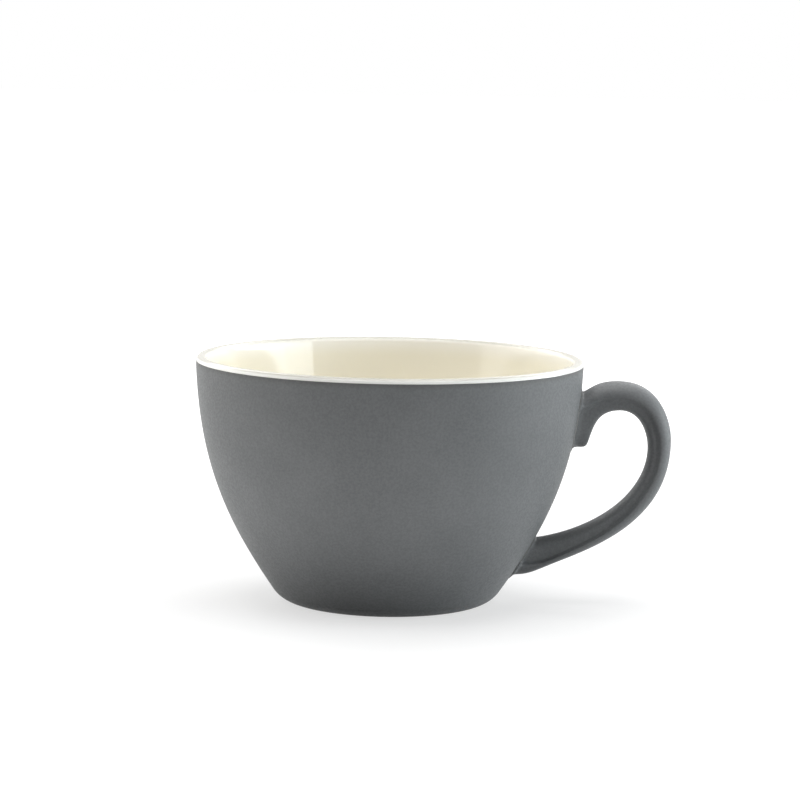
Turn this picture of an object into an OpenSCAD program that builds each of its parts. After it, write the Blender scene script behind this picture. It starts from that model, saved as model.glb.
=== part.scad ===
// Latte bowl: a low, wide porcelain cup on a shallow foot ring, with a cast ear handle.
// The bowl is turned as one piece. The handle is cast by itself and luted on with slip,
// and the glazes lie over the clay as thin coats of their own.
// Origin: centre of the foot, on the plane that the cup stands on. +Z is up, +X is towards the handle.

/* [Bowl outside] */
// Diameter over the rim
rim_d = 110; // [104:1:116]
// Height from the standing plane to the top of the rim
bowl_h = 70; // [66:1:76]
// Radius where the standing foot turns up into the heel
foot_r = 26; // [24:0.5:28]
// Radius of the rounded heel
heel_r = 8; // [6:0.5:10]
// Angle at which the flank leaves the heel, measured from level
heel_angle = 55.5; // [52:0.5:59]
// Angle by which the flank leans outward at the rim
rim_angle = 2; // [0:0.5:4]

/* [Bowl inside] */
// Thickness of the wall at the rim, which is rounded over all of it
rim_t = 3; // [2.6:0.1:3.6]
// Height of the inside floor
floor_h = 6; // [5.5:0.1:7]
// How far inside the foot's radius the level part of the inside floor ends
floor_inset = 4.5; // [3.5:0.25:6]
// Radius of the curve from the inside floor up into the wall
floor_curve_r = 12; // [10:0.5:14]
// Angle at which the inside wall leaves the floor curve, measured from level
floor_angle = 53; // [49:0.5:57]
// Angle by which the inside wall leans outward at the rim
inner_rim_angle = 5; // [3:0.5:7]

/* [Foot] */
// Width of the bare ring that the cup stands on
ring_w = 3.5; // [2.5:0.1:5]
// Depth of the recess inside the foot ring
recess_h = 1.8; // [1.4:0.1:2.4]
// Radius of the fillet round the recess
recess_fillet_r = 1.2; // [0.8:0.1:1.4]
// Height above the standing plane that is wiped free of glaze
bare_h = 0.3; // [0.2:0.05:0.4]

/* [Glaze and slip] */
// Thickness of the glaze coats
glaze_t = 0.4; // [0.3:0.05:0.5]
// How far the ivory glaze runs down from the top of the rim on the outside, at most half the rim's thickness
rim_band_h = 1.3; // [0.8:0.05:1.3]
// Width of the bead of slip that shows round each handle root
bead_w = 0.3; // [0.2:0.05:0.5]
// Height of the bead above the outer glaze
bead_h = 0.2; // [0.1:0.05:0.3]

/* [Handle loop] */
// From the rim out to the highest point of the handle
arch_out = 10.8; // [9:0.1:12.5]
// From the top of the rim down to the highest point of the handle
arch_drop = 5.9; // [4.5:0.1:8]
// Thickness of the handle at its highest point
arch_t = 8.4; // [7.6:0.1:9.2]
// From the rim out to the outermost point of the handle
reach = 25.6; // [23:0.1:29]
// From the top of the rim down to the outermost point of the handle
reach_drop = 23.3; // [21:0.1:26]
// Thickness of the handle at its outermost point
side_t = 6.7; // [6:0.1:7.4]
// How much lower the finger gap is widest than the handle
gap_drop = 1.8; // [0:0.1:3]

/* [Handle roots] */
// From the top of the rim down to the top of the upper root
upper_drop = 9.7; // [9:0.1:11.5]
// Angle at which the upper root rises from the wall, measured from level
upper_root_angle = 32; // [26:0.5:38]
// From the top of the rim down to the underside of the toe
toe_drop = 25.1; // [24:0.1:27]
// How far the toe stands out from the wall
toe_out = 4.6; // [4:0.1:5.4]
// Radius of the toe's corner
toe_r = 1.5; // [1:0.1:2]
// Angle by which the front of the toe leans away from the wall
toe_angle = 18; // [14:0.5:22]
// Height of the lower edge of the lower root
lower_h = 7.9; // [7:0.1:9]
// Height of the lower root itself
lower_t = 10.6; // [9.5:0.1:12]
// From the lower root out to where the arm straightens
arm_out = 14; // [12:0.1:16]
// Rise of the arm over that length
arm_rise = 4.2; // [3.4:0.1:4.8]
// Slope of the arm there, measured from level
arm_angle = 22; // [19:0.5:25]
// Slope of the arm's upper side where it leaves the wall
gap_angle = 10.5; // [7:0.5:14]
// Radius of the fillet between the roots and the wall
root_fillet_r = 1.4; // [1:0.1:1.8]

/* [Handle section] */
// Width of the rounded outer cap
cap_w = 11.4; // [10:0.1:13]
// Width of the inner web
web_w = 8.6; // [7.6:0.1:9.6]
// Depth over which the cap's edge draws in to the web, where the handle is thick enough for it
cove_h = 1.8; // [1.4:0.1:2.2]
// Depth of the rounding along the inner edge
edge_h = 1.8; // [1.4:0.1:2.2]
// How far from the wall the roots start to widen
root_reach = 7; // [5:0.1:9]

/* [Hidden] */

// Facets round the bowl
$fn = 144;

rim_r = rim_d / 2;
lip_r = rim_t / 2;
lip_centre = [rim_r - lip_r, bowl_h - lip_r];
// Angle on the lip, above level, at which the ivory and the grey glaze meet
band_angle = asin(1 - rim_band_h / lip_r);
// Angle on the heel, from straight down, at which the outer glaze starts
bare_angle = acos(1 - bare_h / heel_r);
recess_r = foot_r - ring_w;
floor_r = foot_r - floor_inset;
// Angles round the lip, from level, at which it leaves the outside and meets the inside
lip_start_angle = -rim_angle;
lip_end_angle = 180 - inner_rim_angle;

// Shares of the chord that the ends of the outer and of the inner flank curve run straight on
flank_shares = [0.33, 0.43];
inside_shares = [0.33, 0.36];
// The same for the curves of the handle: over the root, over the arch, down the side, into the arm
over_root_shares = [0.32, 0.55];
over_arch_shares = [0.72, 0.4];
down_side_shares = [0.46, 0.29];
into_wall_shares = [0.6, 0.3];
under_root_shares = [0.4, 0.5];
under_arch_shares = [0.69, 0.42];
down_gap_shares = [0.32, 0.44];
// Cap depth as a share of the handle's thickness
cap_share = 0.47;
// The most that the cove takes of the depth between the cap and the rounding of the inner edge
cove_share = 0.85;
// Extra depth of that rounding, as a share of how much thicker the handle is than at its highest point
toe_rounding_share = 0.5;
// Extra width of the handle at the wall, as a share of its own width
root_widening_share = 0.18;
// Where along the curve over the upper root the stations of the toe end
toe_end_share = 0.27;
// Stations in the root fillets, as shares of the fillet's radius out from the wall
fillet_shares = [0.1, 0.3, 0.6];

// Steps along the curves
heel_steps = 6;
flank_steps = 18;
lip_steps = 12;
toe_steps = 2;
corner_steps = 4;
rise_steps = 9;
arch_steps = 10;
side_steps = 16;
wall_steps = 7;
cap_steps = 5;
cove_steps = 4;
edge_steps = 5;

// How far the roots run on inside the wall before they are cut to it
root_sink = 2;

// Direction at an angle from level
function heading(angle) = [cos(angle), sin(angle)];

// Points on an arc
function arc(centre, r, from, to, steps) =
    [for (i = [0:steps]) centre + r * heading(from + (to - from) * i / steps)];

// Control points of a curve from a to d that leaves and arrives at given angles
function reins(a, a_angle, d, d_angle, shares) =
    let (chord = norm(d - a))
    [a, a + shares[0] * chord * heading(a_angle), d - shares[1] * chord * heading(d_angle), d];

// Point of a cubic curve, and its right-hand normal
function on_curve(c, t) =
    pow(1 - t, 3) * c[0] + 3 * t * pow(1 - t, 2) * c[1] + 3 * t * t * (1 - t) * c[2] + pow(t, 3) * c[3];
function right_of(v) = [v.y, -v.x] / norm(v);
function normal_at(c, t) =
    right_of(pow(1 - t, 2) * (c[1] - c[0]) + 2 * t * (1 - t) * (c[2] - c[1]) + t * t * (c[3] - c[2]));

// Curve moved to its right by a distance
function offset_curve(c, grow, steps) =
    [for (i = [0:steps]) on_curve(c, i / steps) + grow * normal_at(c, i / steps)];

function reversed(list) = [for (i = [len(list) - 1:-1:0]) list[i]];
function after_first(list) = [for (i = [1:len(list) - 1]) list[i]];

// Outer surface of the bowl, heel and flank, moved outward by a distance
heel_centre = [foot_r, heel_r];
flank_curve = reins(
    heel_centre + heel_r * heading(heel_angle - 90), heel_angle,
    lip_centre + lip_r * heading(lip_start_angle), 90 - rim_angle,
    flank_shares
);
function outside_line(grow, from) = concat(
    arc(heel_centre, heel_r + grow, from - 90, heel_angle - 90, heel_steps),
    after_first(offset_curve(flank_curve, grow, flank_steps))
);

// Lip of the bowl, anticlockwise from the outside to the inside
function lip_line(grow, from, to) = arc(lip_centre, lip_r + grow, from, to, lip_steps);

// Inner surface of the bowl from the floor up, moved into the wall by a distance
floor_centre = [floor_r, floor_h + floor_curve_r];
inside_curve = reins(
    floor_centre + floor_curve_r * heading(floor_angle - 90), floor_angle,
    lip_centre + lip_r * heading(lip_end_angle), 90 - inner_rim_angle,
    inside_shares
);
function inside_line(grow) = concat(
    [[0, floor_h - grow]],
    arc(floor_centre, floor_curve_r + grow, -90, floor_angle - 90, heel_steps),
    after_first(offset_curve(inside_curve, grow, flank_steps))
);

// Recess inside the foot ring, from the axis out, moved into the clay by a distance
recess_centre = [recess_r - recess_fillet_r, recess_h - recess_fillet_r];
function recess_line(grow) = concat(
    [[0, recess_h + grow]],
    arc(recess_centre, recess_fillet_r + grow, 90, 0, heel_steps),
    [[recess_r + grow, bare_h]]
);

// Radius of the outer surface at a height
wall_table = [for (p = outside_line(0, 0)) [p.y, p.x]];
function wall_r(z) = lookup(z, wall_table);
// Point on the outer surface, a distance out from it
function off_wall(z, out) = [wall_r(z) + out, z];

// Point at a run out from another, up a slope
function up_slope(from, run, slope) = from + [run, run * tan(slope)];

// Places that the handle passes through, in the XZ plane
upper_edge = off_wall(bowl_h - upper_drop, 0);
upper_out = up_slope(upper_edge, root_fillet_r, upper_root_angle);
arch_top = [rim_r + arch_out, bowl_h - arch_drop];
side_out = [rim_r + reach, bowl_h - reach_drop];
lower_edge = off_wall(lower_h, 0);
lower_out = lower_edge + [root_fillet_r, 0];
arm_under = lower_edge + [arm_out, arm_rise];
gap_top = arch_top - [0, arch_t];
gap_side = side_out - [side_t, gap_drop];
gap_foot = off_wall(lower_h + lower_t, 0);
gap_out = up_slope(gap_foot, root_fillet_r, gap_angle);
toe_z = bowl_h - toe_drop;
toe_edge = off_wall(toe_z, 0);
toe_out_point = toe_edge + [root_fillet_r, 0];
toe_front_angle = 90 - toe_angle;
toe_centre = off_wall(toe_z, toe_out - toe_r) + [0, toe_r];
toe_top = toe_centre + toe_r * heading(-toe_angle);

// Curves of the outer edge, from the upper root round to the lower one
over_root = reins(upper_out, upper_root_angle, arch_top, 0, over_root_shares);
over_arch = [
    arch_top,
    [arch_top.x + over_arch_shares[0] * (side_out.x - arch_top.x), arch_top.y],
    [side_out.x, side_out.y + over_arch_shares[1] * (arch_top.y - side_out.y)],
    side_out
];
down_side = reins(side_out, -90, arm_under, 180 + arm_angle, down_side_shares);
into_wall = reins(arm_under, 180 + arm_angle, lower_out, 180, into_wall_shares);

// Curves of the inner edge, which bounds the finger gap
under_root = reins(toe_top, toe_front_angle, gap_top, 0, under_root_shares);
under_arch = [
    gap_top,
    [gap_top.x + under_arch_shares[0] * (gap_side.x - gap_top.x), gap_top.y],
    [gap_side.x, gap_side.y + under_arch_shares[1] * (gap_top.y - gap_side.y)],
    gap_side
];
down_gap = reins(gap_side, -90, gap_out, 180 + gap_angle, down_gap_shares);

// Stretch of a curve between two shares of it, without its first point
function stretch(c, from, to, steps) =
    [for (i = [1:steps]) on_curve(c, from + (to - from) * i / steps)];
function straight(a, d, steps) = [for (i = [1:steps]) a + (d - a) * i / steps];

// The stations of a root that lie inside the wall, on it and in its fillet, along one edge
function root_stations(edge, slope) =
    [for (out = concat([-root_sink, 0], root_fillet_r * fillet_shares)) up_slope(edge, out, slope)];

// The two edges, station by station. Both have the same number of points.
outer_edge = concat(
    root_stations(upper_edge, upper_root_angle),
    [upper_out],
    stretch(over_root, 0, toe_end_share, toe_steps + corner_steps),
    stretch(over_root, toe_end_share, 1, rise_steps),
    stretch(over_arch, 0, 1, arch_steps),
    stretch(down_side, 0, 1, side_steps),
    stretch(into_wall, 0, 1, wall_steps),
    reversed(root_stations(lower_edge, 0))
);
inner_edge = concat(
    root_stations(toe_edge, 0),
    [toe_out_point],
    straight(toe_out_point, [toe_centre.x, toe_z], toe_steps),
    [for (i = [1:corner_steps]) toe_centre + toe_r * heading(toe_front_angle * i / corner_steps - 90)],
    stretch(under_root, 0, 1, rise_steps),
    stretch(under_arch, 0, 1, arch_steps),
    stretch(down_gap, 0, 1, side_steps + wall_steps),
    reversed(root_stations(gap_foot, gap_angle))
);
stations = len(outer_edge);

// How far a root fillet stands off the handle, along the wall, at a distance out from the wall.
// Grown surfaces keep the fillet's centre, so the glaze and the clay below it stay parallel.
function stand_off(out, grow) =
    root_fillet_r - sqrt(max(0, pow(root_fillet_r - grow, 2) - pow(root_fillet_r - out, 2)));
root_outs = concat([0, 0], root_fillet_r * fillet_shares);
between_roots = stations - 2 * len(root_outs);
function stand_offs(grow) =
    let (root = [for (out = root_outs) stand_off(out, grow)])
    concat(root, [for (i = [1:between_roots]) 0], reversed(root));

// An edge moved to its right by a distance, but for the stations of the roots
function moved_edge(edge, grow) = concat(
    [for (i = [0:len(root_outs) - 1]) edge[i]],
    [for (i = [len(root_outs):len(root_outs) + between_roots - 1])
        edge[i] + grow * right_of(edge[i + 1] - edge[i - 1])],
    [for (i = [stations - len(root_outs):stations - 1]) edge[i]]
);

// Half of the handle's section, as [depth from the outer edge, half width].
// It runs from the top of the cap through the cove and round to the inner edge.
function half_section(t, cap_d, cove, edge, cap, web) = concat(
    [for (i = [0:cap_steps])
        let (a = 90 * i / cap_steps) [cap_d * (1 - cos(a)), cap * sin(a)]],
    [for (i = [1:cove_steps])
        let (s = i / cove_steps) [cap_d + cove * s, web + (cap - web) * (1 + cos(180 * s)) / 2]],
    [for (i = [0:edge_steps])
        let (a = 90 * i / edge_steps) [t - edge * (1 - sin(a)), web * cos(a)]]
);

// One ring of points round the handle at a station, drawn out along the station's own line and made wider.
// Cap and edge are taken from the plain thickness, so that a grown ring stays level with the plain one.
function ring(outer, inner, draw, widen) =
    let (
        t = norm(inner - outer) + 2 * draw,
        e = (inner - outer) / norm(inner - outer),
        top = outer - draw * e,
        plain_t = t - 2 * widen,
        cap_d = cap_share * min(plain_t, arch_t),
        edge = edge_h + toe_rounding_share * max(0, plain_t - arch_t),
        cove = min(cove_h, cove_share * (plain_t - cap_d - edge)),
        middle = (inner + outer) / 2,
        off = middle.x - wall_r(middle.y),
        near = max(0, 1 - max(0, off) / root_reach),
        wide = 1 + root_widening_share * near * near,
        half = half_section(
            t, cap_d + widen, cove, edge + widen,
            wide * cap_w / 2 + widen, wide * web_w / 2 + widen
        )
    )
    concat(
        [for (p = half) let (q = top + p[0] * e) [q.x, p[1], q.y]],
        [for (i = [len(half) - 2:-1:1]) let (q = top + half[i][0] * e) [q.x, -half[i][1], q.y]]
    );

// Rings of a stretch of the handle, grown outward by a distance
function rings(grow, from, to) =
    let (outer = moved_edge(outer_edge, -grow), inner = moved_edge(inner_edge, grow), off = stand_offs(grow))
    [for (i = [from:to])
        let (at_root = i < len(root_outs) || i >= stations - len(root_outs))
        ring(outer[i], inner[i], off[i], at_root ? off[i] : grow)];

// Triangles between two neighbouring rings of n points, whose first points are a and b
function band_faces(a, b, n) = [
    for (j = [0:n - 1])
        let (k = (j + 1) % n)
        each [[a + j, a + k, b + k], [a + j, b + k, b + j]]
];

// Solid of a stretch of the handle, grown outward by a distance
module handle_form(grow, from, to) {
    loop = rings(grow, from, to);
    n = len(loop[0]);
    last = len(loop) - 1;
    polyhedron(
        points = [for (r = loop) each r],
        faces = concat(
            [[for (j = [n - 1:-1:0]) j]],
            [for (i = [0:last - 1]) each band_faces(i * n, (i + 1) * n, n)],
            [[for (j = [0:n - 1]) last * n + j]]
        )
    );
}

// Solid of the bowl's outside, filled in, grown outward by a distance
module bowl_form(grow) {
    line = outside_line(grow, 0);
    rotate_extrude()
        polygon(concat([[0, -grow]], line, [[0, line[len(line) - 1].y]]));
}

// Number of stations that reach from each end past the face of the slip
joint_stations = len(root_outs) + 1;

module upper_pad() {
    handle_form(bead_w, 0, joint_stations);
}

module lower_pad() {
    handle_form(bead_w, stations - 1 - joint_stations, stations - 1);
}

// Turned porcelain body, bare on its foot ring
module bowl_body() {
    color("oldlace")
        rotate_extrude()
            polygon(concat(
                recess_line(0),
                [[recess_r, 0], [foot_r, 0]],
                arc(heel_centre, heel_r, -90, bare_angle - 90, heel_steps),
                outside_line(-glaze_t, bare_angle),
                lip_line(-glaze_t, lip_start_angle, lip_end_angle),
                reversed(inside_line(glaze_t))
            ));
}

// Cast handle, cut to the face of the slip at both roots
module handle() {
    color("oldlace")
        difference() {
            handle_form(-glaze_t, 0, stations - 1);
            bowl_form(bead_h);
        }
}

// Layer of slip between bowl and handle, from the bare clay out to the bead
module slip_layer() {
    difference() {
        bowl_form(bead_h);
        bowl_form(-glaze_t);
    }
}

module upper_slip_joint() {
    color("dimgray")
        intersection() {
            slip_layer();
            upper_pad();
        }
}

module lower_slip_joint() {
    color("dimgray")
        intersection() {
            slip_layer();
            lower_pad();
        }
}

// Ivory glaze of the inside, run over the lip
module inner_glaze() {
    color("ivory")
        rotate_extrude()
            polygon(concat(
                inside_line(glaze_t),
                reversed(lip_line(-glaze_t, band_angle, lip_end_angle)),
                lip_line(0, band_angle, lip_end_angle),
                reversed(inside_line(0))
            ));
}

// Matt grey glaze of the outside, open where the slip meets the clay
module outer_glaze() {
    color("slategray")
        difference() {
            rotate_extrude()
                polygon(concat(
                    outside_line(0, bare_angle),
                    lip_line(0, lip_start_angle, band_angle),
                    reversed(lip_line(-glaze_t, lip_start_angle, band_angle)),
                    reversed(outside_line(-glaze_t, bare_angle))
                ));
            upper_pad();
            lower_pad();
        }
}

// Matt grey glaze round the handle
module handle_glaze() {
    color("slategray")
        difference() {
            handle_form(0, 0, stations - 1);
            handle_form(-glaze_t, 0, stations - 1);
            bowl_form(bead_h);
        }
}

// Grey glaze in the recess of the foot
module base_glaze() {
    color("slategray")
        rotate_extrude()
            polygon(concat(recess_line(-glaze_t), reversed(recess_line(0))));
}

bowl_body();
handle();
upper_slip_joint();
lower_slip_joint();
inner_glaze();
outer_glaze();
handle_glaze();
base_glaze();
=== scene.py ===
import math

import bmesh
import bpy
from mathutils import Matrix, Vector
from mathutils.kdtree import KDTree


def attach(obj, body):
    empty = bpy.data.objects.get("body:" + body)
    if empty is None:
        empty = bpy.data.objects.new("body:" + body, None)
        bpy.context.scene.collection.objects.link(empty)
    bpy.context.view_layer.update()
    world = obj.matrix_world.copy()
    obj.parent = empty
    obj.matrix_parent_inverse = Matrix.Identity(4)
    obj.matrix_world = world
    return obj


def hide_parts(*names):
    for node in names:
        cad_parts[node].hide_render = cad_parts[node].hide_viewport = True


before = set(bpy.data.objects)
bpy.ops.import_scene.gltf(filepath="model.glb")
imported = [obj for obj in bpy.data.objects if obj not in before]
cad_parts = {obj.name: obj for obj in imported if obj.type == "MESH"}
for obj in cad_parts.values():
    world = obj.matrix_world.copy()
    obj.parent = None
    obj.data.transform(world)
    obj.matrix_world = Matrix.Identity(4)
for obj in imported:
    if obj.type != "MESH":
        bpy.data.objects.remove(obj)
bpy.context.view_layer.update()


# Camera: 0.85 m from the middle of the cup, 8.7 degrees above level and rolled by just under a
# degree, as worked out from the outline of the rim, flank and base.
mm = 0.001
aim_height = 35 * mm
camera_distance = 850 * mm
camera_elevation = 8.7074
camera_roll = 0.9442
sensor_width = 36
frame_width = 800
focal_pixels = 2974.8
aim_pixel = (387.92, 478.28)
nearest_seen, farthest_seen = 10 * mm, 50

camera = bpy.data.objects.new("camera", bpy.data.cameras.new("camera"))
bpy.context.scene.collection.objects.link(camera)
bpy.context.scene.camera = camera
camera.data.sensor_width = sensor_width
camera.data.lens = focal_pixels / frame_width * sensor_width
camera.data.shift_x = (frame_width / 2 - aim_pixel[0]) / frame_width
camera.data.shift_y = (aim_pixel[1] - frame_width / 2) / frame_width
camera.data.clip_start = nearest_seen
camera.data.clip_end = farthest_seen
camera.location = (
    0,
    -camera_distance * math.cos(math.radians(camera_elevation)),
    aim_height + camera_distance * math.sin(math.radians(camera_elevation)),
)
camera.rotation_mode = "ZYX"
camera.rotation_euler = (math.radians(90 - camera_elevation), 0, math.radians(camera_roll))
bpy.context.scene.view_settings.view_transform = "Standard"


# Table: a wide light table under the cup. It throws a soft light up at the flank from a ring round
# the cup, less on the handle's side, shows white to its far edge and keeps the cup's shadow. From
# below it is clear. Each pair of numbers is a distance from the cup and the value there.
table_size = 12
ramp_reach = 500 * mm
# The thrown white is painted dark right under the cup as painted shade, and the thrown glow is
# painted light.
thrown_white = ((35 * mm, 0.18), (75 * mm, 0.78), (140 * mm, 0.92), (230 * mm, 0.1))
thrown_glow = ((65 * mm, 0), (90 * mm, 0.95), (140 * mm, 0.95), (210 * mm, 0))
thrown_whole_to, thrown_least_from = 10 * mm, 110 * mm
least_thrown = 0.35
shown_white = 0.38
shown_glow = ((100 * mm, 0.62), (500 * mm, 1))


def material_with_nodes(name):
    """An empty node material, its node tree and its output node."""
    made = bpy.data.materials.new(name)
    made.use_nodes = True
    made.node_tree.nodes.clear()
    return made, made.node_tree, made.node_tree.nodes.new("ShaderNodeOutputMaterial")


def seen_straight(tree):
    """A mask that is 1 for what the camera sees, also by way of gloss or glass."""
    path = tree.nodes.new("ShaderNodeLightPath")
    gloss = tree.nodes.new("ShaderNodeMath")
    gloss.operation = "MAXIMUM"
    glass = tree.nodes.new("ShaderNodeMath")
    glass.operation = "MAXIMUM"
    tree.links.new(path.outputs["Is Camera Ray"], gloss.inputs[0])
    tree.links.new(path.outputs["Is Glossy Ray"], gloss.inputs[1])
    tree.links.new(gloss.outputs[0], glass.inputs[0])
    tree.links.new(path.outputs["Is Transmission Ray"], glass.inputs[1])
    return glass.outputs[0]


bpy.ops.object.select_all(action="DESELECT")
bpy.ops.mesh.primitive_plane_add(size=table_size, location=(0, 0, 0))
table = bpy.context.object
table.name = "table_sheet"
table_paint, tree, output = material_with_nodes("table_white")
table_place = tree.nodes.new("ShaderNodeTexCoord")
from_cup = tree.nodes.new("ShaderNodeVectorMath")
from_cup.operation = "LENGTH"
share_of_reach = tree.nodes.new("ShaderNodeMath")
share_of_reach.operation = "DIVIDE"
share_of_reach.inputs[1].default_value = ramp_reach
tree.links.new(table_place.outputs["Object"], from_cup.inputs[0])
tree.links.new(from_cup.outputs["Value"], share_of_reach.inputs[0])


def by_distance(stops):
    """A grey that changes with the distance from the cup."""
    ramp = tree.nodes.new("ShaderNodeValToRGB")
    while len(ramp.color_ramp.elements) < len(stops):
        ramp.color_ramp.elements.new(0.5)
    for element, (distance, value) in zip(ramp.color_ramp.elements, stops):
        element.position = distance / ramp_reach
        element.color = (value, value, value, 1)
    tree.links.new(share_of_reach.outputs[0], ramp.inputs[0])
    return ramp.outputs["Color"]


def white_and_glow(white, glow):
    """A white surface that also glows. Its white goes by distance too, or is one value."""
    surface = tree.nodes.new("ShaderNodeBsdfDiffuse")
    light = tree.nodes.new("ShaderNodeEmission")
    if isinstance(white, tuple):
        tree.links.new(by_distance(white), surface.inputs["Color"])
    else:
        surface.inputs["Color"].default_value = (white, white, white, 1)
    tree.links.new(by_distance(glow), light.inputs["Strength"])
    both = tree.nodes.new("ShaderNodeAddShader")
    tree.links.new(surface.outputs[0], both.inputs[0])
    tree.links.new(light.outputs[0], both.inputs[1])
    return both.outputs[0]


place_parts = tree.nodes.new("ShaderNodeSeparateXYZ")
less_by_handle = tree.nodes.new("ShaderNodeMapRange")
less_by_handle.inputs["From Min"].default_value = thrown_whole_to
less_by_handle.inputs["From Max"].default_value = thrown_least_from
less_by_handle.inputs["To Min"].default_value = 1
less_by_handle.inputs["To Max"].default_value = least_thrown
tree.links.new(table_place.outputs["Object"], place_parts.inputs[0])
tree.links.new(place_parts.outputs["X"], less_by_handle.inputs["Value"])
# Painted shade: towards the handle's side, the light that the table throws up fades to black.
handle_side_shade = tree.nodes.new("ShaderNodeBsdfDiffuse")
handle_side_shade.inputs["Color"].default_value = (0, 0, 0, 1)
thrown = tree.nodes.new("ShaderNodeMixShader")
tree.links.new(less_by_handle.outputs["Result"], thrown.inputs[0])
tree.links.new(handle_side_shade.outputs[0], thrown.inputs[1])
tree.links.new(white_and_glow(thrown_white, thrown_glow), thrown.inputs[2])
thrown_or_shown = tree.nodes.new("ShaderNodeMixShader")
above_or_below = tree.nodes.new("ShaderNodeMixShader")
clear = tree.nodes.new("ShaderNodeBsdfTransparent")
facing = tree.nodes.new("ShaderNodeNewGeometry")
tree.links.new(seen_straight(tree), thrown_or_shown.inputs[0])
tree.links.new(thrown.outputs[0], thrown_or_shown.inputs[1])
tree.links.new(white_and_glow(shown_white, shown_glow), thrown_or_shown.inputs[2])
tree.links.new(facing.outputs["Backfacing"], above_or_below.inputs[0])
tree.links.new(thrown_or_shown.outputs[0], above_or_below.inputs[1])
tree.links.new(clear.outputs[0], above_or_below.inputs[2])
tree.links.new(above_or_below.outputs[0], output.inputs["Surface"])
table.data.materials.append(table_paint)


# Room: the studio round the table. It shows white from every side, and a low even light comes from
# all round, so that no shadow is black.
room_light, shown_room = 0.06, 1

world = bpy.data.worlds.new("studio")
bpy.context.scene.world = world
world.use_nodes = True
tree = world.node_tree
tree.nodes.clear()
thrown = tree.nodes.new("ShaderNodeBackground")
thrown.inputs["Strength"].default_value = room_light
shown = tree.nodes.new("ShaderNodeBackground")
shown.inputs["Strength"].default_value = shown_room
for light in (thrown, shown):
    light.inputs["Color"].default_value = (1, 1, 1, 1)
thrown_or_shown = tree.nodes.new("ShaderNodeMixShader")
output = tree.nodes.new("ShaderNodeOutputWorld")
tree.links.new(seen_straight(tree), thrown_or_shown.inputs[0])
tree.links.new(thrown.outputs[0], thrown_or_shown.inputs[1])
tree.links.new(shown.outputs[0], thrown_or_shown.inputs[2])
tree.links.new(thrown_or_shown.outputs[0], output.inputs["Surface"])


# Lamps: soft boxes that are aimed at the cup. A sweep of three low, cooler ones stands to the right
# and a sweep of four to the left, each joined edge to edge. Two higher ones at the rear light the
# inside, and a square one hangs overhead. The camera's side is left dark.
box_distance, top_distance = 1.0, 1.1
right_lift, left_lift, rear_lift, top_lift = 8.5, 18, 38, 90
right_size, left_size = (0.389, 0.34), (0.39, 0.65)
rear_size, top_size = (0.5, 0.5), (0.9, 0.9)
right_watts = ((64, 2.4), (86, 2.9), (108, 3.5))
left_watts = ((-140, 0.9), (-118, 1.3), (-96, 1.6), (-74, 1.5))
rear_watts = ((150, 2.6), (-150, 2.6))
top_watts = 11.6
cool_light, warm_light, white_light = (0.91, 0.97, 1), (1, 0.99, 0.955), (1, 1, 1)


def soft_box(name, azimuth, elevation, distance, size, watts, colour):
    """A lamp aimed at the cup, its place given by angles from straight in front and from level."""
    lamp = bpy.data.objects.new(name, bpy.data.lights.new(name, "AREA"))
    bpy.context.scene.collection.objects.link(lamp)
    lamp.data.shape = "RECTANGLE"
    lamp.data.size = size[0]
    lamp.data.size_y = size[1]
    lamp.data.energy = watts
    lamp.data.color = colour
    turn, lift = math.radians(azimuth), math.radians(elevation)
    way_out = math.cos(lift)
    away = Vector((math.sin(turn) * way_out, -math.cos(turn) * way_out, math.sin(lift)))
    lamp.location = Vector((0, 0, aim_height)) + distance * away
    lamp.rotation_mode = "QUATERNION"
    lamp.rotation_quaternion = away.to_track_quat("Z", "Y")


for name, places, lift, size, colour in (
    ("right_box", right_watts, right_lift, right_size, cool_light),
    ("left_box", left_watts, left_lift, left_size, warm_light),
    ("rear_box", rear_watts, rear_lift, rear_size, white_light),
):
    for azimuth, watts in places:
        soft_box(f"{name}_{azimuth % 360}", azimuth, lift, box_distance, size, watts, colour)
soft_box("top_box", 0, top_lift, top_distance, top_size, top_watts, white_light)


# Bowl body: porcelain, turned in one piece. It is bare only on the foot ring, which is wiped
# and then rubbed smooth after the firing.
clay_cloud, clay_grains = (140, 2, 0.5), (2600, 3, 0.6)
clay_cloud_ends, clay_grain_ends, clay_grain_share = (0.35, 0.65), (0.62, 0.78), 0.5
deep_clay, pale_clay, dark_grain = (0.80, 0.77, 0.70), (0.88, 0.86, 0.81), (0.62, 0.57, 0.49)
clay_roughness_ends, clay_roughness, clay_shine = (0.3, 0.7), (0.72, 0.9), 0.35
clay_bump, clay_bump_depth = 0.5, 0.03 * mm
mix_inputs, mix_output = (6, 7), 2


def noise_at(tree, place, scale, detail, rough):
    """A noise texture read at a place, of a scale, a detail and a roughness."""
    made = tree.nodes.new("ShaderNodeTexNoise")
    made.inputs["Scale"].default_value = scale
    made.inputs["Detail"].default_value = detail
    made.inputs["Roughness"].default_value = rough
    tree.links.new(place, made.inputs["Vector"])
    return made.outputs["Fac"]


def ranged(tree, value, low, high, to_low, to_high):
    """A value stretched from one range to another and held inside it."""
    made = tree.nodes.new("ShaderNodeMapRange")
    made.interpolation_type = "SMOOTHSTEP"
    made.inputs["From Min"].default_value = low
    made.inputs["From Max"].default_value = high
    made.inputs["To Min"].default_value = to_low
    made.inputs["To Max"].default_value = to_high
    tree.links.new(value, made.inputs["Value"])
    return made.outputs["Result"]


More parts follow.
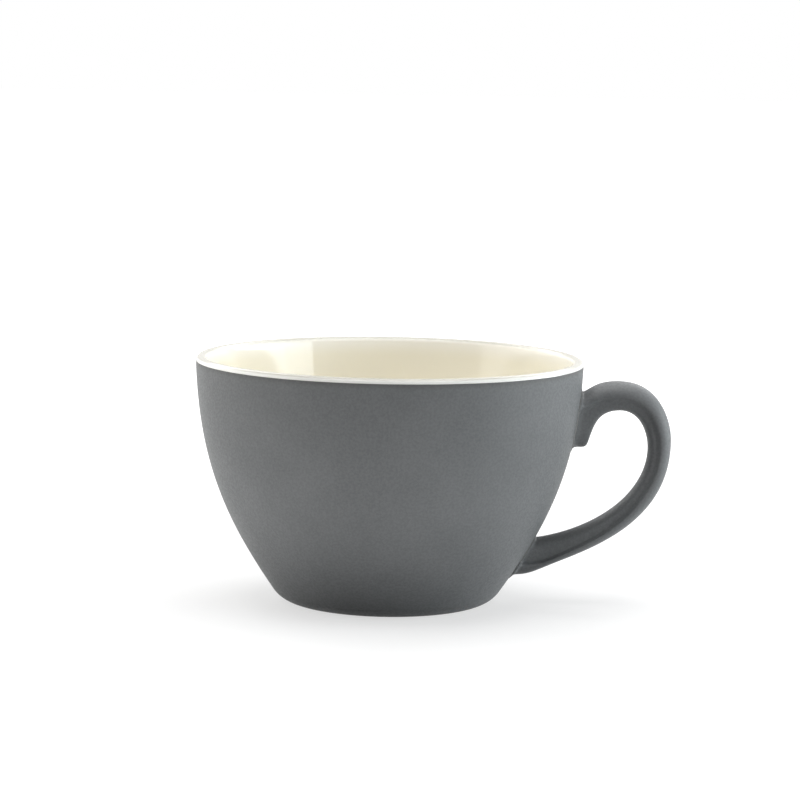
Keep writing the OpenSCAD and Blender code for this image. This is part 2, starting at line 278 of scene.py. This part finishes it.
def blended(tree, share, first, second):
    """Two colours mixed by a share. Each is a colour or the output of a node.

    The colour sockets of a mix node go by number, because several of its sockets share a name.
    """
    made = tree.nodes.new("ShaderNodeMix")
    made.data_type = "RGBA"
    if isinstance(share, float):
        made.inputs[0].default_value = share
    else:
        tree.links.new(share, made.inputs[0])
    for number, colour in zip(mix_inputs, (first, second)):
        if isinstance(colour, tuple):
            made.inputs[number].default_value = (*colour, 1)
        else:
            tree.links.new(colour, made.inputs[number])
    return made.outputs[mix_output]


def bumped(tree, height, strength, depth):
    """A normal raised and sunk by a height."""
    made = tree.nodes.new("ShaderNodeBump")
    made.inputs["Strength"].default_value = strength
    made.inputs["Distance"].default_value = depth
    tree.links.new(height, made.inputs["Height"])
    return made.outputs["Normal"]


def finish_of(name):
    """A material with a Principled shader, its tree, its shader and the piece's own coordinates."""
    made, tree, output = material_with_nodes(name)
    shader = tree.nodes.new("ShaderNodeBsdfPrincipled")
    tree.links.new(shader.outputs[0], output.inputs["Surface"])
    place = tree.nodes.new("ShaderNodeTexCoord")
    return made, tree, shader, place.outputs["Object"]


bare_clay, tree, shader, place = finish_of("bare_porcelain")
grains = noise_at(tree, place, *clay_grains)
cloud = noise_at(tree, place, *clay_cloud)
clay_tone = blended(tree, ranged(tree, cloud, *clay_cloud_ends, 0, 1), deep_clay, pale_clay)
grain_share = ranged(tree, grains, *clay_grain_ends, 0, clay_grain_share)
clay_tone = blended(tree, grain_share, clay_tone, dark_grain)
roughness = ranged(tree, grains, *clay_roughness_ends, *clay_roughness)
tree.links.new(clay_tone, shader.inputs["Base Color"])
tree.links.new(roughness, shader.inputs["Roughness"])
tree.links.new(bumped(tree, grains, clay_bump, clay_bump_depth), shader.inputs["Normal"])
shader.inputs["Specular IOR Level"].default_value = clay_shine


def give(piece, finish):
    """Puts one material on a piece, over all of it."""
    piece.data.materials.clear()
    piece.data.materials.append(finish)


give(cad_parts["bowl_body"], bare_clay)


# Base glaze: the matt, finely speckled grey coat in the recess inside the foot ring, sprayed on in
# one go with the outside.
grey_cloud, grey_specks, grey_tooth = (55, 3, 0.55), (1500, 2, 0.7), (3600, 2, 0.6)
grey_cloud_ends, grey_speck_ends = (0.3, 0.7), (0.33, 0.67)
grey_roughness, grey_shine = (0.62, 0.5), 0.3
grey_bump, grey_bump_depth = 0.35, 0.02 * mm
deep_grey, even_grey = (0.139, 0.145, 0.148), (0.155, 0.161, 0.164)
dark_speck, dark_speck_share = (0.05, 0.05, 0.05), 0.07
pale_speck, pale_speck_share = (0.5, 0.5, 0.5), 0.045
# Paler grey for the beads: thin glaze over the clay, and a painted highlight.
thin_and_highlight_grey = (0.5, 0.49, 0.46)


def speckle_group():
    """What a sprayed matt glaze shows close up: soft clouds, fine specks and a dry, even tooth."""
    group = bpy.data.node_groups.new("matt_speckle", "ShaderNodeTree")
    group.interface.new_socket("Place", in_out="INPUT", socket_type="NodeSocketVector")
    for name in ("Cloud", "Specks", "Tooth"):
        group.interface.new_socket(name, in_out="OUTPUT", socket_type="NodeSocketFloat")
    start = group.nodes.new("NodeGroupInput")
    end = group.nodes.new("NodeGroupOutput")
    place = start.outputs["Place"]
    cloud = noise_at(group, place, *grey_cloud)
    specks = noise_at(group, place, *grey_specks)
    tooth = noise_at(group, place, *grey_tooth)
    group.links.new(ranged(group, cloud, *grey_cloud_ends, 0, 1), end.inputs["Cloud"])
    group.links.new(ranged(group, specks, *grey_speck_ends, 0, 1), end.inputs["Specks"])
    group.links.new(tooth, end.inputs["Tooth"])
    return group


matt_speckle = speckle_group()


def grey_coat(name, thin_and_highlight_share=0):
    """The matt grey glaze. A share of paler grey can be mixed in, for thin glaze where the clay
    shows through and as a painted highlight.
    """
    made, tree, shader, place = finish_of(name)
    speckle = tree.nodes.new("ShaderNodeGroup")
    speckle.node_tree = matt_speckle
    tree.links.new(place, speckle.inputs["Place"])
    tone = blended(tree, speckle.outputs["Cloud"], deep_grey, even_grey)
    darker = blended(tree, dark_speck_share, tone, dark_speck)
    paler = blended(tree, pale_speck_share, tone, pale_speck)
    tone = blended(tree, speckle.outputs["Specks"], darker, paler)
    if thin_and_highlight_share:
        tone = blended(tree, thin_and_highlight_share, tone, thin_and_highlight_grey)
    roughness = ranged(tree, speckle.outputs["Specks"], 0, 1, *grey_roughness)
    normal = bumped(tree, speckle.outputs["Tooth"], grey_bump, grey_bump_depth)
    tree.links.new(tone, shader.inputs["Base Color"])
    tree.links.new(roughness, shader.inputs["Roughness"])
    tree.links.new(normal, shader.inputs["Normal"])
    shader.inputs["Specular IOR Level"].default_value = grey_shine
    return made, tree, shader, place, tone


grey_glaze = grey_coat("matt_grey_glaze")[0]
give(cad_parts["base_glaze"], grey_glaze)


# Outer glaze: the matt grey coat on the outside, 0.4 mm thick, from just above the standing edge up
# to the lip. It is sprayed on over the whole flank. A painted shade darkens it just below the lip,
# and a painted contact shadow darkens it at the foot.
rim_r = 55 * mm
bowl_h = 70 * mm
foot_r = 26 * mm
heel_r = 8 * mm
heel_angle = 55.5
rim_angle = 2
flank_shares = (0.33, 0.43)
lip_r = 1.5 * mm
glaze_t = 0.4 * mm
rim_band_h = 1.3 * mm
bare_h = 0.3 * mm
turn_steps, heel_steps, flank_steps, lip_steps = 192, 14, 56, 16
weld_reach = 0.0005 * mm
coat_crease = 40
# Painted shade: the grey is darkened just below the lip, where the lip's shade falls.
lip_shade_drops, lip_shade_share, lip_shade_tone = (3.2 * mm, 1.3 * mm), 0.4, (0.07, 0.066, 0.055)
# Painted contact shadow: the grey is darkened at the foot, next to the table.
contact_shadow_heights, contact_shadow_share = (0.2 * mm, 1.5 * mm), 0.5
contact_shadow_tone = (0.06, 0.058, 0.055)


def heading(angle):
    """The direction at an angle from level, in radius and height."""
    return Vector((math.cos(math.radians(angle)), math.sin(math.radians(angle))))


def arc(centre, r, start, end, steps):
    """Points on an arc, as radius and height."""
    return [centre + r * heading(start + (end - start) * i / steps) for i in range(steps + 1)]


def reins(a, a_angle, d, d_angle, shares):
    """The four points that steer a curve from a to d."""
    chord = (d - a).length
    return a, a + shares[0] * chord * heading(a_angle), d - shares[1] * chord * heading(d_angle), d


def on_curve(c, t):
    """The point at a share of the way along a curve."""
    s = 1 - t
    return s ** 3 * c[0] + 3 * t * s ** 2 * c[1] + 3 * t * t * s * c[2] + t ** 3 * c[3]


def right_of(way):
    """The direction square to a way, on its right."""
    return Vector((way.y, -way.x)).normalized()


def offset_curve(c, grow, steps):
    """Points along a curve, moved to its right."""
    points = []
    for i in range(steps + 1):
        t = i / steps
        way = (
            (1 - t) ** 2 * (c[1] - c[0]) + 2 * t * (1 - t) * (c[2] - c[1]) + t * t * (c[3] - c[2])
        )
        points.append(on_curve(c, t) + grow * right_of(way))
    return points


lip_centre = Vector((rim_r - lip_r, bowl_h - lip_r))
heel_centre = Vector((foot_r, heel_r))
flank_curve = reins(
    heel_centre + heel_r * heading(heel_angle - 90), heel_angle,
    lip_centre + lip_r * heading(-rim_angle), 90 - rim_angle, flank_shares,
)
band_angle = math.degrees(math.asin(1 - rim_band_h / lip_r))
bare_angle = math.degrees(math.acos(1 - bare_h / heel_r))


def outside_line(grow, start):
    """The outside from an angle on the heel up to the lip, moved outward."""
    heel = arc(heel_centre, heel_r + grow, start - 90, heel_angle - 90, heel_steps)
    return heel + offset_curve(flank_curve, grow, flank_steps)[1:]


def lip_line(grow, start, end):
    """The lip's round between two angles, moved outward."""
    return arc(lip_centre, lip_r + grow, start, end, lip_steps)


def draw_line(points):
    """In edit mode: a line of edges through points, pulled out vertex by vertex."""
    bpy.ops.mesh.select_all(action="DESELECT")
    bpy.ops.mesh.primitive_plane_add(size=mm)
    bpy.ops.mesh.merge(type="CENTER")
    bpy.ops.transform.translate(value=points[0])
    for here, there in zip(points, points[1:]):
        bpy.ops.mesh.extrude_region_move(TRANSFORM_OT_translate={"value": there - here})


def new_piece(name):
    """A new piece without any mesh yet, open in edit mode."""
    bpy.ops.object.select_all(action="DESELECT")
    bpy.ops.mesh.primitive_plane_add(size=mm)
    piece = bpy.context.object
    piece.name = piece.data.name = name
    bpy.ops.object.mode_set(mode="EDIT")
    bpy.ops.mesh.select_all(action="SELECT")
    bpy.ops.mesh.delete(type="VERT")
    return piece


def turned(name, profile):
    """A piece turned on the bowl's axis from points of radius and height."""
    piece = new_piece(name)
    draw_line([Vector((p.x, 0, p.y)) for p in profile])
    bpy.ops.mesh.select_all(action="SELECT")
    bpy.ops.mesh.spin(steps=turn_steps, angle=2 * math.pi, center=(0, 0, 0), axis=(0, 0, 1))
    bpy.ops.mesh.select_all(action="SELECT")
    bpy.ops.mesh.remove_doubles(threshold=weld_reach)
    bpy.ops.mesh.normals_make_consistent(inside=False)
    bpy.ops.object.mode_set(mode="OBJECT")
    return piece


def smoothed(piece, angle):
    """Shades a piece smooth, but for edges that are sharper than an angle."""
    bpy.ops.object.select_all(action="DESELECT")
    piece.select_set(True)
    bpy.context.view_layer.objects.active = piece
    bpy.ops.object.shade_smooth_by_angle(angle=math.radians(angle))


outer = outside_line(0, bare_angle) + lip_line(0, -rim_angle, band_angle)[1:]
inner = outside_line(-glaze_t, bare_angle) + lip_line(-glaze_t, -rim_angle, band_angle)[1:]
outside_coat = turned("grey_coat_outside", outer + inner[::-1] + outer[:1])
smoothed(outside_coat, coat_crease)


def height_of(tree, place):
    """The height of each point of a surface above the table."""
    parts = tree.nodes.new("ShaderNodeSeparateXYZ")
    tree.links.new(place, parts.inputs[0])
    return parts.outputs["Z"]


outside_glaze, tree, shader, place, tone = grey_coat("matt_grey_glaze_outside")
height = height_of(tree, place)
# The painted shade below the lip and the painted contact shadow at the foot are mixed into the
# grey.
lip_shade_from, lip_shade_to = (bowl_h - drop for drop in lip_shade_drops)
lip_shade = ranged(tree, height, lip_shade_from, lip_shade_to, 0, lip_shade_share)
contact_shadow = ranged(tree, height, *contact_shadow_heights, contact_shadow_share, 0)
tone = blended(tree, lip_shade, tone, lip_shade_tone)
tone = blended(tree, contact_shadow, tone, contact_shadow_tone)
tree.links.new(tone, shader.inputs["Base Color"])
give(outside_coat, outside_glaze)
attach(outside_coat, "root")
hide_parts("outer_glaze")


# Inner glaze: glossy ivory over the whole inside and round the lip, poured in and swilled. It is
# deepest on the floor. Below the lip it is painted paler, as a painted reflection of the bright
# room.
# Along the lip's top it is painted darker, as painted shade, and is duller, and on the lip's outer
# side it is painted near white, as a painted highlight.
inner_rim_angle = 5
floor_h = 6 * mm
floor_r = 21.5 * mm
floor_curve_r = 12 * mm
floor_angle = 53
inside_shares = (0.33, 0.36)
floor_steps, inside_steps = 14, 48
ivory_cloud, ivory_ripple = (34, 2, 0.5), (120, 1, 0.4)
ivory_cloud_ends, ivory_roughness, ivory_shine = (0.3, 0.7), (0.05, 0.09), 0.4
ivory_bump, ivory_bump_depth = 0.12, 0.05 * mm
deep_ivory, even_ivory = (0.88, 0.84, 0.72), (0.90, 0.865, 0.755)
# Painted reflection: the ivory turns paler towards the lip.
reflection_drops, reflection_ivory = (6 * mm, 0.8 * mm), (0.93, 0.91, 0.855)
# Painted shade: the lip's top is painted darker against the light from above, and is also rougher.
lip_top_drops, lip_top_shade_ivory = (0.8 * mm, 0.25 * mm), (0.56, 0.54, 0.475)
lip_top_roughness = (0.2, 0.2, 0.2)
# Painted highlight: the lip's outer side is painted near white.
highlight_outs, highlight_ivory = (0.95 * mm, 1.3 * mm), (0.97, 0.96, 0.91)

floor_centre = Vector((floor_r, floor_h + floor_curve_r))
inside_curve = reins(
    floor_centre + floor_curve_r * heading(floor_angle - 90), floor_angle,
    lip_centre + lip_r * heading(180 - inner_rim_angle), 90 - inner_rim_angle, inside_shares,
)


def inside_line(grow):
    """The inside from the middle of the floor up to the lip, moved into the clay."""
    middle = Vector((0, floor_h - grow))
    floor_curve = arc(floor_centre, floor_curve_r + grow, -90, floor_angle - 90, floor_steps)
    return [middle] + floor_curve + offset_curve(inside_curve, grow, inside_steps)[1:]


inner_lip_end = 180 - inner_rim_angle
shown_line = lip_line(0, band_angle, inner_lip_end) + inside_line(0)[::-1][1:]
backing = inside_line(glaze_t) + lip_line(-glaze_t, band_angle, inner_lip_end)[::-1][1:]
inside_coat = turned("ivory_coat_inside", shown_line[::-1] + backing[::-1])
smoothed(inside_coat, coat_crease)


def radius_of(tree, place):
    """The distance of each point of a surface from the bowl's axis."""
    level = tree.nodes.new("ShaderNodeVectorMath")
    level.operation = "MULTIPLY"
    level.inputs[1].default_value = (1, 1, 0)
    tree.links.new(place, level.inputs[0])
    length = tree.nodes.new("ShaderNodeVectorMath")
    length.operation = "LENGTH"
    tree.links.new(level.outputs[0], length.inputs[0])
    return length.outputs["Value"]


ivory_glaze, tree, shader, place = finish_of("glossy_ivory_glaze")
height, radius = height_of(tree, place), radius_of(tree, place)
cloud = noise_at(tree, place, *ivory_cloud)
ripple = noise_at(tree, place, *ivory_ripple)
reflection_from, reflection_to = (bowl_h - drop for drop in reflection_drops)
lip_top_from, lip_top_to = (bowl_h - drop for drop in lip_top_drops)
highlight_from, highlight_to = (lip_centre.x + out for out in highlight_outs)
painted_reflection = ranged(tree, height, reflection_from, reflection_to, 0, 1)
lip_top_shade_and_dullness = ranged(tree, height, lip_top_from, lip_top_to, 0, 1)
# The edge share is the painted highlight on the lip's outer side.
edge = ranged(tree, radius, highlight_from, highlight_to, 0, 1)
tone = blended(tree, ranged(tree, cloud, *ivory_cloud_ends, 0, 1), deep_ivory, even_ivory)
# Each share mixes in a painted tone: reflection below the lip, shade on its top, highlight outside.
for share, painted_tone in ((painted_reflection, reflection_ivory), (lip_top_shade_and_dullness, lip_top_shade_ivory), (edge, highlight_ivory)):
    tone = blended(tree, share, tone, painted_tone)
roughness = ranged(tree, cloud, *ivory_cloud_ends, *ivory_roughness)
roughness = blended(tree, lip_top_shade_and_dullness, roughness, lip_top_roughness)
tree.links.new(tone, shader.inputs["Base Color"])
tree.links.new(roughness, shader.inputs["Roughness"])
tree.links.new(bumped(tree, ripple, ivory_bump, ivory_bump_depth), shader.inputs["Normal"])
shader.inputs["Specular IOR Level"].default_value = ivory_shine
give(inside_coat, ivory_glaze)
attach(inside_coat, "root")
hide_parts("inner_glaze")


# Handle: porcelain, cast by itself and all under its glaze. The section has a rounded outer cap, a
# hollow below it and a narrower web, and it grows into a toe at the upper root. Both ends flare out
# to the wall. Its glaze is drawn here too, while the handle is still whole.
arch_out = 10.8 * mm
arch_drop = 5.9 * mm
arch_t = 8.4 * mm
reach = 25.6 * mm
reach_drop = 23.3 * mm
side_t = 6.7 * mm
gap_drop = 1.8 * mm
upper_drop = 9.7 * mm
upper_root_angle = 32
toe_drop = 25.1 * mm
toe_out = 4.6 * mm
toe_r = 1.5 * mm
toe_angle = 18
lower_h = 7.9 * mm
lower_t = 10.6 * mm
arm_out = 14 * mm
arm_rise = 4.2 * mm
arm_angle = 22
gap_angle = 10.5
root_fillet_r = 1.4 * mm
cap_w = 11.4 * mm
web_w = 8.6 * mm
cove_h = 1.8 * mm
edge_h = 1.8 * mm
root_reach = 7 * mm
root_sink = 2 * mm
bead_h = 0.2 * mm
over_root_shares = (0.32, 0.55)
over_arch_shares = (0.72, 0.4)
down_side_shares = (0.46, 0.29)
into_wall_shares = (0.6, 0.3)
under_root_shares = (0.4, 0.5)
under_arch_shares = (0.69, 0.42)
down_gap_shares = (0.32, 0.44)
cap_share = 0.47
cove_share = 0.85
toe_rounding_share = 0.5
root_widening_share = 0.18
toe_end_share = 0.27
fillet_shares = (0.1, 0.3, 0.6)
toe_steps, corner_steps, rise_steps, arch_steps, side_steps, wall_steps = 2, 4, 10, 12, 18, 8
cap_steps, cove_steps, edge_steps = 6, 5, 5
pick_reach = 0.005 * mm
ring_halvings = 2
handle_crease = 50

wall_points = outside_line(0, 0)


def wall_r(z):
    """Radius of the outside at a height."""
    for low, high in zip(wall_points, wall_points[1:]):
        if z <= high.y:
            return low.x + (high.x - low.x) * (z - low.y) / (high.y - low.y)
    return high.x


def off_wall(z, out):
    """A point at a height, out from the wall."""
    return Vector((wall_r(z) + out, z))


def up_slope(start, run, slope):
    """A point a run further out from a start, up a slope."""
    return start + Vector((run, run * math.tan(math.radians(slope))))


def quarter(a, b, shares):
    """The steering points of a quarter turn that starts level at a and ends upright at b."""
    after_a = Vector((a.x + shares[0] * (b.x - a.x), a.y))
    before_b = Vector((b.x, b.y + shares[1] * (a.y - b.y)))
    return a, after_a, before_b, b


def stretch(c, start, end, steps):
    """Points along a part of a curve, without its first."""
    return [on_curve(c, start + (end - start) * i / steps) for i in range(1, steps + 1)]


def root_stations(edge, slope):
    """The stations of a root, from inside the wall out along its fillet."""
    outs = [-root_sink, 0] + [root_fillet_r * share for share in fillet_shares]
    return [up_slope(edge, out, slope) for out in outs]


upper_edge = off_wall(bowl_h - upper_drop, 0)
upper_out = up_slope(upper_edge, root_fillet_r, upper_root_angle)
arch_top = Vector((rim_r + arch_out, bowl_h - arch_drop))
side_out = Vector((rim_r + reach, bowl_h - reach_drop))
lower_edge = off_wall(lower_h, 0)
lower_out = lower_edge + Vector((root_fillet_r, 0))
arm_under = lower_edge + Vector((arm_out, arm_rise))
gap_top = arch_top - Vector((0, arch_t))
gap_side = side_out - Vector((side_t, gap_drop))
gap_foot = off_wall(lower_h + lower_t, 0)
gap_out = up_slope(gap_foot, root_fillet_r, gap_angle)
toe_z = bowl_h - toe_drop
toe_edge = off_wall(toe_z, 0)
toe_out_point = toe_edge + Vector((root_fillet_r, 0))
toe_centre = off_wall(toe_z, toe_out - toe_r) + Vector((0, toe_r))
toe_top = toe_centre + toe_r * heading(-toe_angle)
toe_corner = Vector((toe_centre.x, toe_z))
toe_straight = [toe_out_point, toe_out_point.lerp(toe_corner, 0.5), toe_corner]

over_root = reins(upper_out, upper_root_angle, arch_top, 0, over_root_shares)
over_arch = quarter(arch_top, side_out, over_arch_shares)
down_side = reins(side_out, -90, arm_under, 180 + arm_angle, down_side_shares)
into_wall = reins(arm_under, 180 + arm_angle, lower_out, 180, into_wall_shares)
under_root = reins(toe_top, 90 - toe_angle, gap_top, 0, under_root_shares)
under_arch = quarter(gap_top, gap_side, under_arch_shares)
down_gap = reins(gap_side, -90, gap_out, 180 + gap_angle, down_gap_shares)

outer_edge = (
    root_stations(upper_edge, upper_root_angle) + [upper_out]
    + stretch(over_root, 0, toe_end_share, toe_steps + corner_steps)
    + stretch(over_root, toe_end_share, 1, rise_steps)
    + stretch(over_arch, 0, 1, arch_steps)
    + stretch(down_side, 0, 1, side_steps)
    + stretch(into_wall, 0, 1, wall_steps)
    + root_stations(lower_edge, 0)[::-1]
)
inner_edge = (
    root_stations(toe_edge, 0) + toe_straight
    + arc(toe_centre, toe_r, -90, -toe_angle, corner_steps)[1:]
    + stretch(under_root, 0, 1, rise_steps)
    + stretch(under_arch, 0, 1, arch_steps)
    + stretch(down_gap, 0, 1, side_steps + wall_steps)
    + root_stations(gap_foot, gap_angle)[::-1]
)
root_outs = [0, 0] + [root_fillet_r * share for share in fillet_shares]
stations = len(outer_edge)


def stand_off(out, grow):
    """How far a root fillet stands off the handle, at a distance out from the wall."""
    r = root_fillet_r
    return r - math.sqrt(max(0, (r - grow) ** 2 - (r - out) ** 2))


def moved_edge(edge, grow):
    """An edge moved to its right, but for the stations of the roots."""
    moved = list(edge)
    for i in range(len(root_outs), stations - len(root_outs)):
        moved[i] = edge[i] + grow * right_of(edge[i + 1] - edge[i - 1])
    return moved


def half_section(t, cap_d, cove, edge, cap, web):
    """Depths and half widths, from the top of the cap through the cove to the inner edge."""
    points = []
    for i in range(cap_steps + 1):
        a = math.pi / 2 * i / cap_steps
        points.append((cap_d * (1 - math.cos(a)), cap * math.sin(a)))
    for i in range(1, cove_steps + 1):
        s = i / cove_steps
        points.append((cap_d + cove * s, web + (cap - web) * (1 + math.cos(math.pi * s)) / 2))
    for i in range(edge_steps + 1):
        a = math.pi / 2 * i / edge_steps
        points.append((t - edge * (1 - math.sin(a)), web * math.cos(a)))
    return points


def handle_ring(outer_point, inner_point, draw, widen):
    """The points round the handle at one station."""
    way = (inner_point - outer_point).normalized()
    top = outer_point - draw * way
    t = (inner_point - outer_point).length + 2 * draw
    plain_t = t - 2 * widen
    cap_d = cap_share * min(plain_t, arch_t)
    edge = edge_h + toe_rounding_share * max(0, plain_t - arch_t)
    cove = min(cove_h, cove_share * (plain_t - cap_d - edge))
    middle = (inner_point + outer_point) / 2
    near = max(0, 1 - max(0, middle.x - wall_r(middle.y)) / root_reach)
    wide = 1 + root_widening_share * near * near
    half = half_section(
        t, cap_d + widen, cove, edge + widen, wide * cap_w / 2 + widen, wide * web_w / 2 + widen,
    )
    one_side = [(top + depth * way, across) for depth, across in half]
    other_side = [(p, -across) for p, across in one_side[-2:0:-1]]
    return [Vector((p.x, across, p.y)) for p, across in one_side + other_side]


def handle_rings(grow, first, last):
    """The rings of a stretch of the handle, grown outward."""
    outer_line, inner_line = moved_edge(outer_edge, -grow), moved_edge(inner_edge, grow)
    root = [stand_off(out, grow) for out in root_outs]
    offs = root + [0] * (stations - 2 * len(root)) + root[::-1]
    rings = []
    for i in range(first, last + 1):
        at_root = i < len(root) or i >= stations - len(root)
        widen = offs[i] if at_root else grow
        rings.append(handle_ring(outer_line[i], inner_line[i], offs[i], widen))
    return rings


def pick(piece, points):
    """In edit mode: selects the vertices that lie at the points, and what joins them."""
    bpy.ops.mesh.select_all(action="DESELECT")
    places = KDTree(len(points))
    for number, point in enumerate(points):
        places.insert(point, number)
    places.balance()
    mesh = bmesh.from_edit_mesh(piece.data)
    for vertex in mesh.verts:
        distance = places.find(vertex.co)[2]
        vertex.select = distance < pick_reach
    mesh.select_flush(True)
    bmesh.update_edit_mesh(piece.data)


def applied(piece, kind, **settings):
    """Adds a modifier to a piece and applies it."""
    bpy.ops.object.select_all(action="DESELECT")
    piece.select_set(True)
    bpy.context.view_layer.objects.active = piece
    bpy.ops.object.modifier_add(type=kind)
    modifier = piece.modifiers[-1]
    for key, value in settings.items():
        setattr(modifier, key, value)
    bpy.ops.object.modifier_apply(modifier=modifier.name)


def lofted(name, rings):
    """A closed piece drawn ring by ring, bridged from each ring to the next and smoothed."""
    piece = new_piece(name)
    for ring in rings:
        draw_line(ring + ring[:1])
    bpy.ops.mesh.select_all(action="SELECT")
    bpy.ops.mesh.remove_doubles(threshold=weld_reach)
    for ring, next_ring in zip(rings, rings[1:]):
        pick(piece, ring + next_ring)
        bpy.ops.mesh.bridge_edge_loops()
    for end_ring in (rings[0], rings[-1]):
        pick(piece, end_ring)
        bpy.ops.mesh.edge_face_add()
    bpy.ops.mesh.select_all(action="SELECT")
    bpy.ops.mesh.normals_make_consistent(inside=False)
    bpy.ops.object.mode_set(mode="OBJECT")
    applied(piece, "SUBSURF", levels=ring_halvings, render_levels=ring_halvings)
    return piece


def cut_by(piece, other, way):
    """Cuts a piece by another one, which stays."""
    applied(piece, "BOOLEAN", object=other, operation=way, solver="EXACT")


def cup_form(name, grow):
    """The cup's outside as a filled solid, to cut other pieces to."""
    line = outside_line(grow, 0)
    return turned(name, [Vector((0, line[0].y))] + line + [Vector((0, line[-1].y))])


whole_handle = (0, stations - 1)
bead_form = cup_form("cutter_bead", bead_h)
cast_handle = lofted("cast_handle", handle_rings(-glaze_t, *whole_handle))
handle_coat = lofted("grey_coat_handle", handle_rings(0, *whole_handle))
cut_by(handle_coat, cast_handle, "DIFFERENCE")
cut_by(cast_handle, bead_form, "DIFFERENCE")
smoothed(cast_handle, handle_crease)
give(cast_handle, bare_clay)
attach(cast_handle, "root")
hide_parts("handle")


# Handle glaze: the matt grey coat round the handle, 0.4 mm thick and sprayed on in one go with the
# outside. It ends at the slip beads of both roots.
cut_by(handle_coat, bead_form, "DIFFERENCE")
smoothed(handle_coat, handle_crease)
give(handle_coat, grey_glaze)
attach(handle_coat, "root")
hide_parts("handle_glaze")


# Slip joints: the liquid clay that the handle is stuck on with. What was squeezed out is wiped down
# to a thin bead round each root. The bead is paler: the glaze runs thin off its edge, and the paler
# tone is also a painted highlight along the bead.
bead_w = 0.3 * mm
# The bead's paler share is partly thin glaze and partly a painted highlight.
bead_thin_and_highlight_share = 0.45
joint_stations = len(root_outs) + 1

clay_form = cup_form("cutter_clay", -glaze_t)
bead_glaze_with_highlight = grey_coat("bead_glaze_thin_and_highlight", bead_thin_and_highlight_share)[0]
for name, node, first, last in (
    ("upper_slip_bead", "upper_slip_joint", 0, joint_stations),
    ("lower_slip_bead", "lower_slip_joint", stations - 1 - joint_stations, stations - 1),
):
    bead = lofted(name, handle_rings(bead_w, first, last))
    cut_by(outside_coat, bead, "DIFFERENCE")
    cut_by(bead, bead_form, "INTERSECT")
    cut_by(bead, clay_form, "DIFFERENCE")
    smoothed(bead, coat_crease)
    give(bead, bead_glaze_with_highlight)
    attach(bead, "root")
    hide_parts(node)

for cutter in (bead_form, clay_form):
    bpy.data.objects.remove(cutter)
